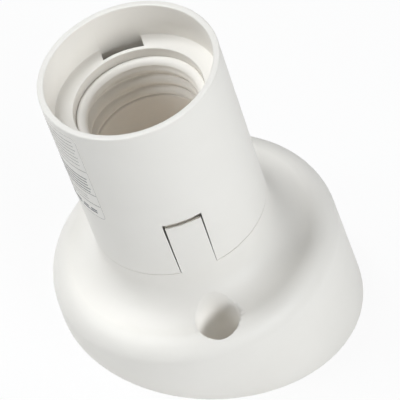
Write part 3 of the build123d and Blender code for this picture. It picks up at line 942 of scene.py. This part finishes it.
def bar_block(name, ink, counts, spacing, width, lengths, indents, low_row, seed):
    """Makes one block of bars as a plain mesh."""
    piece = bpy.data.objects.new(name, bpy.data.meshes.new(name))
    step = piece.modifiers.new("bars", "NODES")
    step.node_group = PRINT_BARS
    set_inputs(step, {
        "Rows": counts[0],
        "Columns": counts[1],
        "Row spacing": spacing[0] * MM,
        "Column spacing": spacing[1] * MM,
        "Bar width": width * MM,
        "Shortest": lengths[0] * MM,
        "Longest": lengths[1] * MM,
        "Indent": indents[0] * MM,
        "Ragged": indents[1] * MM,
        "Low row": low_row * MM,
        "Radius": PRINT_RADIUS * MM,
        "Start angle": LABEL_START,
        "Seed": seed,
        "Material": ink,
    })
    bake(piece)
    piece.data.transform(SOCKET)
    dress(piece, ink, "sleeve")


for block in BAR_BLOCKS:
    bar_block(*block)

# Camera at the photograph's viewpoint: angles in degrees, lens and sensor in millimetres, the rest in metres
CAMERA_AZIMUTH = -14.95
CAMERA_ELEVATION = 44.98
CAMERA_ROLL = math.radians(1.81)
CAMERA_TARGET = Vector((-3.01, 0.0, 29.36)) * MM
CAMERA_DISTANCE = 0.64
CAMERA_LENS = 258.75
CAMERA_SENSOR = 36.0
CAMERA_NEAR = 0.05
CAMERA_FAR = 20.0


def direction(azimuth, elevation):
    """The way out towards an azimuth, counted from the front to the right, and an elevation, in degrees."""
    a, e = math.radians(azimuth), math.radians(elevation)
    return Vector((math.sin(a) * math.cos(e), -math.cos(a) * math.cos(e), math.sin(e)))


back = direction(CAMERA_AZIMUTH, CAMERA_ELEVATION)
heading = math.radians(CAMERA_AZIMUTH)
level_right = Vector((math.cos(heading), math.sin(heading), 0.0))
level_up = back.cross(level_right)
right = math.cos(CAMERA_ROLL) * level_right + math.sin(CAMERA_ROLL) * level_up
up = math.cos(CAMERA_ROLL) * level_up - math.sin(CAMERA_ROLL) * level_right
camera_data = bpy.data.cameras.new("camera")
camera_data.lens = CAMERA_LENS
camera_data.sensor_width = CAMERA_SENSOR
camera_data.clip_start = CAMERA_NEAR
camera_data.clip_end = CAMERA_FAR
camera = bpy.data.objects.new("camera", camera_data)
camera.matrix_world = axes_frame(right, up, back, CAMERA_TARGET + CAMERA_DISTANCE * back)
scene.collection.objects.link(camera)
scene.camera = camera

# Pale floor, just under the wall plane, and a white background that is seen straight and in reflections
FLOOR_REACH = 3.0
FLOOR_DROP = 0.0001
FLOOR_WHITE = (0.86, 0.86, 0.86, 1.0)
FLOOR_GLOW = 0.92


def plain_sight(tree):
    """1 for rays that see a surface straight, in a reflection or through glass, and 0 for its light."""
    path = tree.nodes.new("ShaderNodeLightPath")
    seen = path.outputs["Is Camera Ray"]
    for ray in ("Is Glossy Ray", "Is Transmission Ray"):
        seen = arithmetic(tree, "MAXIMUM", seen, path.outputs[ray])
    return seen


def floor_material():
    """A matt white floor that reads as plain white to the camera and still takes a soft shadow."""
    material, tree, surface = empty_material("floor_white")
    matt = tree.nodes.new("ShaderNodeBsdfDiffuse")
    matt.inputs["Color"].default_value = FLOOR_WHITE
    glow = tree.nodes.new("ShaderNodeEmission")
    mix = tree.nodes.new("ShaderNodeMixShader")
    tree.links.new(arithmetic(tree, "MULTIPLY", plain_sight(tree), FLOOR_GLOW), mix.inputs["Fac"])
    tree.links.new(matt.outputs["BSDF"], mix.inputs[1])
    tree.links.new(glow.outputs["Emission"], mix.inputs[2])
    tree.links.new(mix.outputs["Shader"], surface)
    return material


floor_mesh = bpy.data.meshes.new("floor")
floor_corners = [(x, y, -FLOOR_DROP) for x, y in strip(-FLOOR_REACH, FLOOR_REACH, FLOOR_REACH)]
floor_mesh.from_pydata(floor_corners, [], [(0, 1, 2, 3)])
floor_mesh.materials.append(floor_material())
floor = bpy.data.objects.new("floor", floor_mesh)
scene.collection.objects.link(floor)

world = bpy.data.worlds.new("background")
world.use_nodes = True
world_tree = world.node_tree
world_tree.nodes.clear()
backdrop = world_tree.nodes.new("ShaderNodeBackground")
backdrop.inputs["Color"].default_value = (1.0, 1.0, 1.0, 1.0)
world_tree.links.new(plain_sight(world_tree), backdrop.inputs["Strength"])
world_output = world_tree.nodes.new("ShaderNodeOutputWorld")
world_tree.links.new(backdrop.outputs["Background"], world_output.inputs["Surface"])
scene.world = world

# Studio lamps, a metre from the socket: azimuth and elevation in degrees, size in metres, power in watts
LAMP_TINT = (0.965, 1.0, 1.026)
LAMPS = (
    ("high_left_lamp", -120.0, 62.0, 0.3, 4.5),
    ("left_lamp", -85.0, 36.0, 0.25, 2.15),
    ("far_left_lamp", -110.0, 38.0, 0.3, 0.87),
    ("back_left_lamp", -135.0, 25.0, 0.3, 0.5),
    ("front_lamp", 20.0, 25.0, 0.25, 2.92),
    ("low_right_lamp", 40.0, 25.0, 0.25, 1.65),
    ("right_lamp", 40.0, 38.0, 0.25, 0.97),
    ("far_right_lamp", 65.0, 38.0, 0.25, 0.97),
)

for name, azimuth, elevation, size, power in LAMPS:
    away = direction(azimuth, elevation)
    lamp_data = bpy.data.lights.new(name, "AREA")
    lamp_data.shape = "SQUARE"
    lamp_data.size = size
    lamp_data.energy = power
    lamp_data.color = LAMP_TINT
    lamp = bpy.data.objects.new(name, lamp_data)
    lamp.location = CAMERA_TARGET + away
    lamp.rotation_euler = away.to_track_quat("Z", "Y").to_euler()
    scene.collection.objects.link(lamp)

scene.view_settings.view_transform = "Standard"
